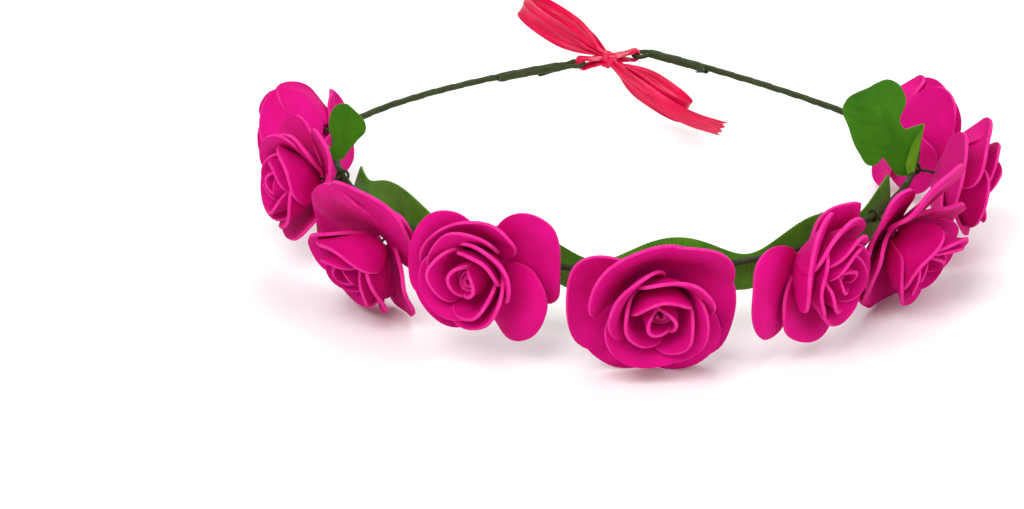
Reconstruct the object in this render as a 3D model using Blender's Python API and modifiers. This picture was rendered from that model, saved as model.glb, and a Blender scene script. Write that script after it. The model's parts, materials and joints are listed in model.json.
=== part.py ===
"""A foam-rose flower crown: a taped wire ring, nine foam roses, a ribbon band, leaves and a tied bow.

Metres, +Z up. The ring lies level, its front towards -Y. Angles round it are measured from
the front, positive towards +X.
"""

import math

import bpy
from mathutils import Matrix, Vector

MM = 0.001

# Ring and wire: a round front, and two flatter arms that meet behind the head
RING_RADIUS = 80 * MM            # centre of the core wire, at the front
RING_HEIGHT = 23.67 * MM         # core wire above the surface that the petals rest on
RING_SHIFT = Vector((0.35 * MM, 14.77 * MM, 0))  # puts the middle of the whole crown at the origin
LEFT_BEND = -92                  # degrees: where the round front turns into each arm
RIGHT_BEND = 85
LEFT_EYE = Vector((-0.194, 0.675, 0)) * RING_RADIUS  # the arms' ends, from the ring's middle
RIGHT_EYE = Vector((0.106, 0.788, 0)) * RING_RADIUS
LEFT_EYE_PULL = Vector((-0.437, -0.175, 0)) * RING_RADIUS  # how each arm curves up to its eye
RIGHT_EYE_PULL = Vector((0.375, -0.25, 0)) * RING_RADIUS
BEND_PULL = 0.187 * RING_RADIUS
WIRE_STEP = 4.2 * MM             # between points along the wire
WIRE_RADIUS = 0.45 * MM
TAPE_GAP = 0.15 * MM
TAPE_WALL = 0.2 * MM
TAPE_RADIUS = WIRE_RADIUS + TAPE_GAP + TAPE_WALL
STRAND_PITCH = 1.3 * MM          # between the wire and its folded-back end
LEFT_FOLD = 22 * MM              # length of the end folded back along the arm
RIGHT_FOLD = 20 * MM
ROW_START = -105                 # degrees: the flowers' tape, along the wire from the front
ROW_END = 115
TAPE_BREAK = 0.6 * MM            # between one run of tape and the next
CUFF_GAP = 0.2 * MM
CUFF_WALL = 0.25 * MM
GAP = 0.3 * MM                   # left between pieces that touch

# Roses
STEM_RADIUS = 0.4 * MM
STEM_TURNS = 1.25                # turns of the stem round the taped wire
STEM_PITCH = 1.3 * MM
PETAL_SHEET = 1.2 * MM           # thickness of the foam
STEM_HOLE = 0.9 * MM             # radius of the hole punched in each layer
HEAD_BASE = 6.0 * MM             # outermost petals above the wire
LAYER_STEP = 1.8 * MM            # from one layer's base to the next
OUTER_RADIUS = 23 * MM
MIDDLE_RADIUS = 0.748 * OUTER_RADIUS  # each layer nests in the one outside it
INNER_RADIUS = 0.651 * MIDDLE_RADIUS
BUD_RADIUS = 0.464 * INNER_RADIUS
OUTER = {"radius": OUTER_RADIUS, "depth": 13 * MM, "curl": 61, "lobes": 5, "notch": 0.17, "rows": 3}
MIDDLE = {"radius": MIDDLE_RADIUS, "depth": 14 * MM, "curl": 78, "lobes": 4, "notch": 0.13, "rows": 3}
INNER = {"radius": INNER_RADIUS, "depth": 12.5 * MM, "curl": 92, "lobes": 3, "notch": 0.1, "rows": 3}
BUD_HEIGHT = 12.2 * MM

# Each rose, left to right: its place along the wire from the front (degrees of the round front),
# nod up, turn to the right, spin about its own axis (degrees), and size
ROSES = {
    "a": {"place": -97.5, "nod": -20, "turn": -8, "spin": -10, "size": 0.99},
    "b": {"place": -73.3, "nod": 4, "turn": 6, "spin": 4, "size": 0.925},
    "c": {"place": -49.2, "nod": -28, "turn": -4, "spin": -4, "size": 0.97},
    "d": {"place": -25.5, "nod": 4, "turn": 0, "spin": 0, "size": 0.98},
    "e": {"place": 3, "nod": -11, "turn": 4, "spin": 4, "size": 1.06},
    "f": {"place": 29.8, "nod": -5, "turn": 25, "spin": -4, "size": 0.96},
    "g": {"place": 54.8, "nod": -31, "turn": -4, "spin": 6, "size": 0.985},
    "h": {"place": 78.2, "nod": -14, "turn": 2, "spin": 0, "size": 0.95},
    "i": {"place": 100, "nod": -20, "turn": -12, "spin": -6, "size": 0.995},
}

# Ribbon band: it lies inside the wire, waving up and down behind the roses
BAND_START = -72                 # degrees
BAND_END = 66
BAND_WIDTH = 10 * MM
BAND_THICKNESS = 0.5 * MM
BAND_RISE = -1.4 * MM            # the band's middle above the wire, at the front
BAND_FALL = 0.03 * MM            # lower by this for each degree to the right
BAND_WAVE = 2.8 * MM
BAND_WAVES = 12
BAND_CREST = 8                   # degrees: one of its crests

# Leaves: flat blades that stand on the wire and face the front. The outline's points are to the
# right and up, in millimetres, from the middle of the wire at the leaf's place (degrees).
LEAF_THICKNESS = 0.6 * MM
LEAVES = {
    "leaf_left": {
        "place": -78,
        "outline": ((7.7, 11.7), (4.8, 16.5), (1, 18.5), (-1.5, 16.5), (-2.3, 11.1), (-1.6, 6), (-3.7, 7.2),
                    (-6.2, 7.8), (-4.5, 4.2), (-1.5, 2.6), (1.2, 2.6), (2.6, 4.6), (5.3, 8.1)),
    },
    "leaf_right": {
        "place": 70,
        "outline": ((-17.8, 22.8), (-10.7, 27.5), (-5, 29.6), (-1.2, 24.5), (-2.6, 18.3), (-1.2, 15.9),
                    (3.9, 18), (1.7, 4.1), (0.4, 2.7), (-2.6, 2.7), (-5, 5.6), (-6.6, 8), (-9.6, 5.6),
                    (-13.4, 9.7), (-16.3, 16.8)),
    },
}

# Bow: a tie through both eyes, a knot round it, and on the knot two loops and two tails
SATIN_WIDTH = 6.5 * MM
SATIN_THICKNESS = 0.5 * MM
TIE_RADIUS = 0.75 * MM
TIE_WAIST = 0.95 * MM            # half the distance between the tie's strands at the knot
KNOT_LENGTH = 4.6 * MM
KNOT_WALL = 0.6 * MM
LOOP_HEIGHT = 8 * MM
LOOPS = {
    "bow_loop_back": {"length": 27 * MM, "way": (-23.4, 14, 11), "wide": (0.42, -0.08, 0.9)},
    "bow_loop_front": {"length": 25 * MM, "way": (21.6, -12, -11), "wide": (0.42, 0.06, 0.9)},
}
# Each tail runs under its loop: along it and below its middle line, in millimetres
TAILS = {
    "bow_tail_back": ("bow_loop_back", ((1, -2.4), (6, -4.8), (12, -5.9), (18, -6.2))),
    "bow_tail_front": ("bow_loop_front", ((1, -2.4), (6, -4.8), (14, -5.9), (22, -5.4), (28, -2),
                                          (32, 2.5), (35, 6.5))),
}

COLOURS = {
    "rose": ((0.78, 0.0, 0.25, 1), 0.75, 0.0),
    "leaf": ((0.06, 0.25, 0.02, 1), 0.6, 0.0),
    "band": ((0.07, 0.3, 0.02, 1), 0.7, 0.0),
    "tape": ((0.04, 0.07, 0.02, 1), 0.8, 0.0),
    "wire": ((0.35, 0.36, 0.37, 1), 0.35, 1.0),
    "satin": ((0.9, 0.0, 0.09, 1), 0.3, 0.0),
}


def clear_scene():
    for old in list(bpy.context.scene.objects):
        bpy.data.objects.remove(old)


def make_material(name, finish):
    colour, roughness, metallic = COLOURS[finish]
    material = bpy.data.materials.new(name)
    material.use_nodes = True
    shader = material.node_tree.nodes["Principled BSDF"]
    shader.inputs["Base Color"].default_value = colour
    shader.inputs["Roughness"].default_value = roughness
    shader.inputs["Metallic"].default_value = metallic
    return material


def add_part(name, data, finish, collection, matrix=None):
    part = bpy.data.objects.new(name, data)
    collection.objects.link(part)
    data.materials.append(make_material(name, finish))
    if matrix is not None:
        part.matrix_world = matrix
    return part


def as_mesh(curve_object, collection):
    """The curve object made a mesh object of the same name, with its caps welded."""
    name = curve_object.name
    matrix = curve_object.matrix_world.copy()
    bpy.context.view_layer.update()
    graph = bpy.context.evaluated_depsgraph_get()
    mesh = bpy.data.meshes.new_from_object(curve_object.evaluated_get(graph))
    bpy.data.objects.remove(curve_object)
    part = bpy.data.objects.new(name, mesh)
    part.matrix_world = matrix
    collection.objects.link(part)
    return part


def tube_curve(name, points, radius, capped=True):
    curve = bpy.data.curves.new(name, "CURVE")
    curve.dimensions = "3D"
    spline = curve.splines.new("POLY")
    spline.points.add(len(points) - 1)
    for point, place in zip(spline.points, points):
        point.co = (*place, 1)
    curve.bevel_depth = radius
    curve.bevel_resolution = 1
    curve.use_fill_caps = capped
    return curve


def add_tube(name, points, radius, finish, collection, matrix=None):
    return add_part(name, tube_curve(name, points, radius), finish, collection, matrix)


def add_sleeve(name, points, outer_radius, wall, finish, collection):
    """A hollow tube, open at both ends."""
    curve = tube_curve(name, points, outer_radius, capped=False)
    sleeve = as_mesh(add_part(name, curve, finish, collection), collection)
    shell = sleeve.modifiers.new("wall", "SOLIDIFY")
    shell.thickness = wall
    shell.offset = -1
    return sleeve


# The ring's geometry

def outward(angle):
    turn = math.radians(angle)
    return Vector((math.sin(turn), -math.cos(turn), 0))


def along(angle):
    turn = math.radians(angle)
    return Vector((math.cos(turn), math.sin(turn), 0))


def bezier(start, start_pull, end_pull, end, share):
    rest = 1 - share
    return (start * rest ** 3 + start_pull * (3 * rest ** 2 * share)
            + end_pull * (3 * rest * share ** 2) + end * share ** 3)


def arm(bend, eye, pull, side):
    """Points from the round front to the eye, close together."""
    start = outward(bend) * RING_RADIUS
    turned = start + along(bend) * BEND_PULL * side
    return [bezier(start, turned, eye + pull, eye, i / 60) for i in range(1, 61)]


def wire_path():
    """The core wire's middle line from the left eye to the right one, as (distance, point)."""
    front = [outward(LEFT_BEND + (RIGHT_BEND - LEFT_BEND) * i / 180) * RING_RADIUS for i in range(181)]
    left = arm(LEFT_BEND, LEFT_EYE, LEFT_EYE_PULL, -1)
    right = arm(RIGHT_BEND, RIGHT_EYE, RIGHT_EYE_PULL, 1)
    line = list(reversed(left)) + front + right
    begin = -sum((a - b).length for a, b in zip(left, [front[0]] + left))
    travelled = begin + math.radians(LEFT_BEND) * RING_RADIUS
    path = [(travelled, line[0])]
    for a, b in zip(line, line[1:]):
        travelled += (b - a).length
        path.append((travelled, b))
    return path


PATH = wire_path()


def wire_distance(place):
    """Distance along the wire that a place in degrees of the round front stands for."""
    return math.radians(place) * RING_RADIUS


def wire_point(distance):
    """A point of the wire, by its distance along it from the front, positive to the right."""
    for (near, a), (far, b) in zip(PATH, PATH[1:]):
        if distance <= far:
            break
    share = (distance - near) / (far - near)
    return a.lerp(b, share) + RING_SHIFT + Vector((0, 0, RING_HEIGHT))


def wire_way(distance):
    """Direction of the wire, the way its distance grows."""
    return (wire_point(distance + MM) - wire_point(distance - MM)).normalized()


def wire_span(start, end):
    """Points along the wire. Every call uses the same ones, so that tubes nest."""
    first, last = math.ceil(start / WIRE_STEP), math.floor(end / WIRE_STEP)
    between = [i * WIRE_STEP for i in range(first, last + 1)]
    between = [d for d in between if start + MM < d < end - MM]
    return [wire_point(d) for d in [start] + between + [end]]


def eye_frame(side):
    """Point on the wire where the eye begins, the way it faces, to the other eye, and across."""
    tips = {"left": wire_point(PATH[0][0]), "right": wire_point(PATH[-1][0])}
    tip = tips.pop(side)
    ahead = (tips.popitem()[1] - tip).normalized()
    inward = -1 if side == "left" else 1
    return tip, ahead, Vector((0, 0, 1)).cross(ahead) * inward


# Half the eye's outline: along it, and across from its centre line
EYE_OUTLINE = ((0.0, 0.75), (1.0, 1.25), (2.0, 1.65), (3.0, 1.75), (4.0, 1.45), (4.7, 0.8), (4.95, 0.0))
EYE_TIP = EYE_OUTLINE[-1][0] * MM


def eye_points(side):
    """From the wire, round the eye, to the start of the folded-back strand."""
    tip, ahead, across = eye_frame(side)
    middle = tip + across * STRAND_PITCH / 2
    near = [middle + ahead * u * MM - across * w * MM for u, w in EYE_OUTLINE]
    far = [middle + ahead * u * MM + across * w * MM for u, w in reversed(EYE_OUTLINE[:-1])]
    return near + far


def strand_points(side, share):
    """Points beside a folded end, from its eye, at a share of the strand pitch inside the arm."""
    if side == "left":
        start, end = PATH[0][0] + 1.5 * MM, PATH[0][0] + LEFT_FOLD
    else:
        start, end = PATH[-1][0] - 1.5 * MM, PATH[-1][0] - RIGHT_FOLD
    points = []
    steps = round(abs(end - start) / WIRE_STEP)
    for i in range(steps + 1):
        distance = start + (end - start) * i / steps
        across = Vector((0, 0, 1)).cross(wire_way(distance))
        points.append(wire_point(distance) + across * STRAND_PITCH * share)
    return points


def make_wire(collection):
    left = list(reversed(eye_points("left") + strand_points("left", 1)))
    right = eye_points("right") + strand_points("right", 1)
    arms = wire_span(PATH[0][0] + 1.5 * MM, PATH[-1][0] - 1.5 * MM)
    add_tube("core_wire", left + arms + right, WIRE_RADIUS, "wire", collection)


def make_tape(collection):
    row_start, row_end = wire_distance(ROW_START), wire_distance(ROW_END)
    runs = {
        "tape_left_arm": (PATH[0][0] + LEFT_FOLD + 2 * MM, row_start - TAPE_BREAK),
        "tape_flower_row": (row_start, row_end),
        "tape_right_arm": (row_end + TAPE_BREAK, PATH[-1][0] - RIGHT_FOLD - 2 * MM),
    }
    for name, (start, end) in runs.items():
        add_sleeve(name, wire_span(start, end), TAPE_RADIUS, TAPE_WALL, "tape", collection)
    cuff = STRAND_PITCH / 2 + WIRE_RADIUS + CUFF_GAP + CUFF_WALL
    for side in ("left", "right"):
        add_sleeve(f"tape_{side}_cuff", strand_points(side, 0.5), cuff, CUFF_WALL, "tape", collection)


# Roses

def rose_frame(distance, nod):
    """Origin on the wire; X along the wire, Z the way the rose faces, Y up."""
    lift = math.radians(nod)
    side = wire_way(distance)
    facing = side.cross(Vector((0, 0, 1))) * math.cos(lift) + Vector((0, 0, math.sin(lift)))
    up = facing.cross(side)
    turn = Matrix((side, up, facing)).transposed().to_4x4()
    return Matrix.Translation(wire_point(distance)) @ turn


def head_frame(turn):
    """The flower head turns about the top of its stem."""
    pivot = Matrix.Translation((0, 0, HEAD_BASE * 0.6))
    return pivot @ Matrix.Rotation(math.radians(turn), 4, "Y") @ pivot.inverted()


def stem_points(turn):
    """The stem's coil round the taped wire, then straight out through the layers."""
    coil = TAPE_RADIUS + GAP + STEM_RADIUS
    steps = round(STEM_TURNS * 8)
    points = []
    for i in range(steps + 1):
        turns = STEM_TURNS * (1 - i / steps)
        bearing = 2 * math.pi * turns
        points.append(Vector((-turns * STEM_PITCH, -coil * math.sin(bearing), coil * math.cos(bearing))))
    head = head_frame(turn)
    top = HEAD_BASE + 3 * LAYER_STEP
    straight = [head @ Vector((0, 0, z)) for z in (HEAD_BASE * 0.6, HEAD_BASE, top)]
    return points[:-1] + straight


def add_layer(name, shape, base, size, spin, matrix, collection):
    """One die-cut foam layer: a lobed sheet with a centre hole, cupped along its axis."""
    lobes, rows = shape["lobes"], shape["rows"]
    first = math.asin(STEM_HOLE / shape["radius"])
    last = math.radians(shape["curl"])
    profile = []
    for i in range(rows + 1):
        bend = first + (last - first) * i / rows
        profile.append((shape["radius"] * math.sin(bend), 0, base + shape["depth"] * (1 - math.cos(bend))))
    mesh = bpy.data.meshes.new(name)
    mesh.from_pydata(profile, [(i, i + 1) for i in range(rows)], [])
    layer = add_part(name, mesh, "rose", collection)
    turn = layer.modifiers.new("turned", "SCREW")
    turn.steps = turn.render_steps = lobes * 4
    turn.use_merge_vertices = True
    turn.merge_threshold = 0.01 * MM
    turn.use_normal_flip = True
    layer = as_mesh(layer, collection)
    reach = shape["radius"] * math.sin(last)
    for vertex in layer.data.vertices:
        radius = math.hypot(vertex.co.x, vertex.co.y)
        bearing = math.atan2(vertex.co.y, vertex.co.x)
        lobe = abs(math.cos(lobes * bearing / 2)) ** 0.7
        share = radius / reach
        trim = 1 - shape["notch"] * share ** 2 * (1 - lobe)
        vertex.co.x *= trim
        vertex.co.y *= trim
    layer.data.transform(Matrix.Rotation(math.radians(spin), 4, "Z"))
    layer.data.transform(Matrix.Diagonal((size, size, 1, 1)))
    layer.matrix_world = matrix
    sheet = layer.modifiers.new("sheet", "SOLIDIFY")
    sheet.thickness = PETAL_SHEET
    sheet.offset = 1
    return layer


def add_bud(name, base, matrix, collection):
    """The rolled centre, as a blunt egg."""
    outline = ((0.0, 0.0), (0.35, 0.0), (0.78, 0.14), (1.0, 0.45), (0.86, 0.8), (0.5, 0.97), (0.0, 1.0))
    profile = [(BUD_RADIUS * r, 0, base + BUD_HEIGHT * z) for r, z in outline]
    mesh = bpy.data.meshes.new(name)
    mesh.from_pydata(profile, [(i, i + 1) for i in range(len(profile) - 1)], [])
    bud = add_part(name, mesh, "rose", collection, matrix)
    turn = bud.modifiers.new("turned", "SCREW")
    turn.steps = turn.render_steps = 8
    turn.use_merge_vertices = True
    turn.merge_threshold = 0.01 * MM
    turn.use_normal_flip = True
    return bud


def make_rose(letter, spec, collection):
    frame = rose_frame(wire_distance(spec["place"]), spec["nod"])
    head = frame @ head_frame(spec["turn"])
    stem = [frame @ point for point in stem_points(spec["turn"])]
    add_tube(f"rose_{letter}_stem", stem, STEM_RADIUS, "tape", collection)
    layers = (("outer", OUTER, 0, 0), ("middle", MIDDLE, 1, 36), ("inner", INNER, 2, 70))
    for label, shape, step, offset in layers:
        base = HEAD_BASE + step * LAYER_STEP
        spin = spec["spin"] + offset
        add_layer(f"rose_{letter}_{label}_petals", shape, base, spec["size"], spin, head, collection)
    bud_base = HEAD_BASE + 3 * LAYER_STEP + GAP
    add_bud(f"rose_{letter}_bud", bud_base, head, collection)


# Ribbon band and leaves

def band_rise(bearing):
    """Height of the band's middle above the wire, at an angle in radians from the front."""
    level = BAND_RISE - BAND_FALL * math.degrees(bearing)
    return level + BAND_WAVE * math.cos(BAND_WAVES * (bearing - math.radians(BAND_CREST)))


def strip_curve(name, points, width):
    """A ribbon's middle line, extruded square to its plane."""
    curve = bpy.data.curves.new(name, "CURVE")
    curve.dimensions = "2D"
    curve.fill_mode = "NONE"
    spline = curve.splines.new("POLY")
    spline.points.add(len(points) - 1)
    for point, (x, y) in zip(spline.points, points):
        point.co = (x, y, 0, 1)
    curve.extrude = width / 2
    return curve


def thicken(part, thickness):
    sheet = part.modifiers.new("sheet", "SOLIDIFY")
    sheet.thickness = thickness
    sheet.offset = 0


def make_band(collection):
    coil = TAPE_RADIUS + GAP + 2 * STEM_RADIUS
    radius = RING_RADIUS - coil - GAP - BAND_THICKNESS / 2
    facets = round(math.radians(BAND_END - BAND_START) * radius / WIRE_STEP / 2) * 2 + 1
    bearings = [BAND_START + (BAND_END - BAND_START) * i / facets for i in range(facets + 1)]
    points = [(outward(bearing) * radius).to_2d() for bearing in bearings]
    band = add_part("ribbon_band", strip_curve("ribbon_band", points, BAND_WIDTH), "band", collection)
    band = as_mesh(band, collection)
    for vertex in band.data.vertices:
        vertex.co.z += band_rise(math.atan2(vertex.co.x, -vertex.co.y))
    band.location = RING_SHIFT + Vector((0, 0, RING_HEIGHT))
    thicken(band, BAND_THICKNESS)


def make_leaves(collection):
    for name, spec in LEAVES.items():
        curve = bpy.data.curves.new(name, "CURVE")
        curve.dimensions = "2D"
        curve.fill_mode = "BOTH"
        curve.extrude = LEAF_THICKNESS / 2
        curve.resolution_u = 3
        spline = curve.splines.new("BEZIER")
        spline.use_cyclic_u = True
        spline.bezier_points.add(len(spec["outline"]) - 1)
        for point, (u, v) in zip(spline.bezier_points, spec["outline"]):
            point.co = (u * MM, v * MM, 0)
            point.handle_left_type = point.handle_right_type = "AUTO"
        stand = Matrix.Rotation(math.radians(90), 4, "X")
        place = Matrix.Translation(wire_point(wire_distance(spec["place"])))
        add_part(name, curve, "leaf", collection, place @ stand)


# Bow

def eye_tip(side):
    """Middle of the wire at the far end of the eye."""
    tip, ahead, across = eye_frame(side)
    return tip + across * STRAND_PITCH / 2 + ahead * EYE_TIP


def bow_frame():
    """Origin midway between the eyes, X from the left eye to the right one, Z up."""
    left, right = eye_tip("left"), eye_tip("right")
    across = (right - left).normalized()
    back = Vector((0, 0, 1)).cross(across)
    turn = Matrix((across, back, Vector((0, 0, 1)))).transposed().to_4x4()
    return Matrix.Translation((left + right) / 2) @ turn


def make_tie(collection):
    """One closed strand through both eyes, pinched in at the knot."""
    reach = WIRE_RADIUS + GAP + TIE_RADIUS + 0.05 * MM
    half = (eye_tip("right") - eye_tip("left")).length / 2
    top = []
    for side in (-1, 1):
        arc = [math.radians(bend) for bend in (180, 150, 120, 90)]
        arc = arc if side == -1 else list(reversed([math.pi - bend for bend in arc]))
        top += [Vector((side * half + reach * math.cos(bend), 0, reach * math.sin(bend))) for bend in arc]
        if side == -1:
            top += [Vector((x * KNOT_LENGTH, 0, TIE_WAIST)) for x in (-0.5, 0.5)]
    bottom = [Vector((point.x, 0, -point.z)) for point in reversed(top[1:-1])]
    curve = tube_curve("ribbon_tie", top + bottom, TIE_RADIUS)
    curve.splines[0].use_cyclic_u = True
    add_part("ribbon_tie", curve, "satin", collection, bow_frame())


def make_knot(collection):
    inner = TIE_WAIST + TIE_RADIUS + GAP
    ends = [Vector((x * KNOT_LENGTH, 0, 0)) for x in (-0.5, 0.5)]
    curve = tube_curve("bow_knot", ends, inner + KNOT_WALL, capped=False)
    curve.bevel_resolution = 4
    knot = as_mesh(add_part("bow_knot", curve, "satin", collection), collection)
    shell = knot.modifiers.new("wall", "SOLIDIFY")
    shell.thickness = KNOT_WALL
    shell.offset = -1
    knot.matrix_world = bow_frame()


def loop_frame(name):
    """Origin where the loop leaves the knot, X along the loop, Z across the ribbon."""
    way = Vector(LOOPS[name]["way"]).normalized()
    wide = Vector(LOOPS[name]["wide"])
    wide = (wide - way * wide.dot(way)).normalized()
    turn = Matrix((way, wide.cross(way), wide)).transposed().to_4x4()
    knot = TIE_WAIST + TIE_RADIUS + GAP + KNOT_WALL
    start = bow_frame().translation + way * (knot + 3 * GAP)
    return Matrix.Translation(start) @ turn


def loop_points(length):
    """A teardrop, open by a little at its neck."""
    steps, neck = 16, 0.06
    points = []
    for i in range(steps + 1):
        turn = math.pi * (neck + (1 - 2 * neck) * i / steps)
        across = LOOP_HEIGHT / 2 * math.sin(2 * turn) * math.sqrt(math.sin(turn)) * 1.3
        points.append((length * math.sin(turn) ** 2, across))
    return points


def make_bow(collection):
    make_tie(collection)
    make_knot(collection)
    strips = {name: (name, loop_points(spec["length"])) for name, spec in LOOPS.items()}
    for name, (loop, points) in TAILS.items():
        strips[name] = (loop, [(u * MM, v * MM) for u, v in points])
    for name, (loop, points) in strips.items():
        strip = add_part(name, strip_curve(name, points, SATIN_WIDTH), "satin", collection)
        strip = as_mesh(strip, collection)
        thicken(strip, SATIN_THICKNESS)
        strip.matrix_world = loop_frame(loop)


def main():
    clear_scene()
    crown = bpy.data.collections.new("flower_crown")
    bpy.context.scene.collection.children.link(crown)
    make_wire(crown)
    make_tape(crown)
    for letter, spec in ROSES.items():
        make_rose(letter, spec, crown)
    make_band(crown)
    make_leaves(crown)
    make_bow(crown)


main()
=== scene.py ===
import json
import math
import random
from bisect import bisect_left

import bpy
from mathutils import Matrix, Vector, noise


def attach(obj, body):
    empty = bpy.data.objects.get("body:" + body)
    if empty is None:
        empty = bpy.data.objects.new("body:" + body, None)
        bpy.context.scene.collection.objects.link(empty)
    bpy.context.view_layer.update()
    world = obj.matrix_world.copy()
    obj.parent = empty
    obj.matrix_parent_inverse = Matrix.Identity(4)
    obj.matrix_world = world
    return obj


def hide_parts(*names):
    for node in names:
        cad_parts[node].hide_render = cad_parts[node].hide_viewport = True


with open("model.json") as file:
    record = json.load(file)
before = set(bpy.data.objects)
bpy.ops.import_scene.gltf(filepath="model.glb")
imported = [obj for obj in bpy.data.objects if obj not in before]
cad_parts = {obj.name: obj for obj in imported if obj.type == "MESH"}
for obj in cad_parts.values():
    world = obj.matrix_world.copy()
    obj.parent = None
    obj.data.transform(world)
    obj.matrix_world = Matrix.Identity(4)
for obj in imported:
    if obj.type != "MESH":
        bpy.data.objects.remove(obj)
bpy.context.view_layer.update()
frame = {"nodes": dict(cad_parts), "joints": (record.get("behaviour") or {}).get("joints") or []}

mm = 0.001
upright = Vector((0, 0, 1))
print("frame: loaded", len(frame["nodes"]), "nodes")


# small helpers

def clearSelection():
    if bpy.context.object and bpy.context.object.mode != "OBJECT":
        bpy.ops.object.mode_set(mode="OBJECT")
    bpy.ops.object.select_all(action="DESELECT")


def pick(*pieces):
    clearSelection()
    for piece in pieces:
        piece.select_set(True)
    bpy.context.view_layer.objects.active = pieces[0]


def addModifier(piece, kind, **values):
    modifier = piece.modifiers.new(kind.lower(), kind)
    for name, value in values.items():
        setattr(modifier, name, value)
    if kind == "SUBSURF":
        modifier.render_levels = modifier.levels
    return modifier


def applyModifiers(piece):
    pick(piece)
    for modifier in list(piece.modifiers):
        bpy.ops.object.modifier_apply(modifier=modifier.name)


def joined(pieces, name):
    pick(*pieces)
    if len(pieces) > 1:
        bpy.ops.object.join()
    whole = bpy.context.object
    whole.name = whole.data.name = name
    return whole


def finishPiece(piece, body, slot, *nodes):
    pick(piece)
    bpy.ops.object.shade_smooth_by_angle(angle=math.radians(40))
    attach(piece, body)
    if nodes:
        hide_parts(*nodes)


def ease(share):
    share = min(1.0, max(0.0, share))
    return share * share * (3 - 2 * share)


def gridSheet(name, columns, rows, length, width, placeAt, *materials):
    # a flat grid bent into shape; its UV map is in millimetres along and across
    clearSelection()
    bpy.ops.mesh.primitive_grid_add(x_subdivisions=columns, y_subdivisions=rows, size=2)
    sheet = bpy.context.object
    sheet.name = sheet.data.name = name
    corners = [vertex.co.copy() for vertex in sheet.data.vertices]
    corner = sheet.data.uv_layers[0].data
    for loop in sheet.data.loops:
        flat = corners[loop.vertex_index]
        corner[loop.index].uv = ((flat.x + 1) / 2 * length / mm, (flat.y + 1) / 2 * width / mm)
    for vertex, flat in zip(sheet.data.vertices, corners):
        vertex.co = placeAt((flat.x + 1) / 2, flat.y)
    for material in materials:
        sheet.data.materials.append(material)
    return sheet


def tubeAlong(name, line, sides, shapeAt, material, across=None):
    # shapeAt(travelled, angle) gives how far the skin lies out, sideways and upwards
    travelled = [0.0]
    for a, b in zip(line, line[1:]):
        travelled.append(travelled[-1] + (b - a).length)
    frames = []
    for i, place in enumerate(line):
        way = (line[min(i + 1, len(line) - 1)] - line[max(i - 1, 0)]).normalized()
        side = across if across else upright.cross(way).normalized()
        frames.append((place, side, way.cross(side)))

    def placeAt(share, around):
        index = round(share * (len(line) - 1))
        place, side, up = frames[index]
        wide, high = shapeAt(travelled[index], math.pi * around)
        return place + side * wide + up * high

    girth = 2 * math.pi * 0.9 * mm  # near enough for all the tubes, to scale the map round them
    tube = gridSheet(name, len(line) - 1, sides, travelled[-1], girth, placeAt, material)
    bpy.ops.object.mode_set(mode="EDIT")
    bpy.ops.mesh.select_all(action="SELECT")
    bpy.ops.mesh.remove_doubles(threshold=1e-6)
    bpy.ops.mesh.fill_holes(sides=0)
    bpy.ops.mesh.normals_make_consistent(inside=False)
    bpy.ops.object.mode_set(mode="OBJECT")
    return tube


def smoothLine(points, pieces):
    # a smooth curve through the points
    line = []
    for i in range(len(points) - 1):
        a, b, c, d = (points[min(max(i + k, 0), len(points) - 1)] for k in (-1, 0, 1, 2))
        for step in range(pieces):
            t = step / pieces
            line.append(0.5 * (2 * b + (c - a) * t + (2 * a - 5 * b + 4 * c - d) * t ** 2
                               + (3 * b - 3 * c + d - a) * t ** 3))
    return line + [points[-1]]


# the wire's route, the same as the core wire's

ringRadius = 80 * mm

wire = {
    "height": 23.67 * mm, "shift": Vector((0.35 * mm, 14.77 * mm, 0)),
    "leftBend": -92, "rightBend": 85,
    "leftEye": Vector((-0.194, 0.675, 0)) * ringRadius,
    "leftPull": Vector((-0.437, -0.175, 0)) * ringRadius,
    "rightEye": Vector((0.106, 0.788, 0)) * ringRadius,
    "rightPull": Vector((0.375, -0.25, 0)) * ringRadius,
    "bendPull": 0.187 * ringRadius, "strandPitch": 1.3 * mm,
}


def outward(angle):
    turn = math.radians(angle)
    return Vector((math.sin(turn), -math.cos(turn), 0))


def alongRing(angle):
    turn = math.radians(angle)
    return Vector((math.cos(turn), math.sin(turn), 0))


def bezierPoint(start, startPull, endPull, end, share):
    rest = 1 - share
    return (start * rest ** 3 + startPull * (3 * rest ** 2 * share)
            + endPull * (3 * rest * share ** 2) + end * share ** 3)


def armPoints(bend, eye, pull, side):
    start = outward(bend) * ringRadius
    turned = start + alongRing(bend) * wire["bendPull"] * side
    return [bezierPoint(start, turned, eye + pull, eye, i / 60) for i in range(1, 61)]


def wireRoute():
    first, last = wire["leftBend"], wire["rightBend"]
    front = [outward(first + (last - first) * i / 180) * ringRadius for i in range(181)]
    left = armPoints(first, wire["leftEye"], wire["leftPull"], -1)
    right = armPoints(last, wire["rightEye"], wire["rightPull"], 1)
    line = list(reversed(left)) + front + right
    travelled = math.radians(first) * ringRadius
    travelled -= sum((a - b).length for a, b in zip(left, [front[0]] + left))
    distances = [travelled]
    for a, b in zip(line, line[1:]):
        travelled += (b - a).length
        distances.append(travelled)
    return distances, [point + wire["shift"] + upright * wire["height"] for point in line]


routeDistances, routePoints = wireRoute()
wireStart, wireEnd = routeDistances[0], routeDistances[-1]


def wireDistance(angle):
    return math.radians(angle) * ringRadius


def wirePoint(distance):
    i = min(max(bisect_left(routeDistances, distance), 1), len(routePoints) - 1)
    share = (distance - routeDistances[i - 1]) / (routeDistances[i] - routeDistances[i - 1])
    return routePoints[i - 1].lerp(routePoints[i], share)


def wireWay(distance):
    return (wirePoint(distance + mm) - wirePoint(distance - mm)).normalized()


# camera, floor and lights

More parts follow.
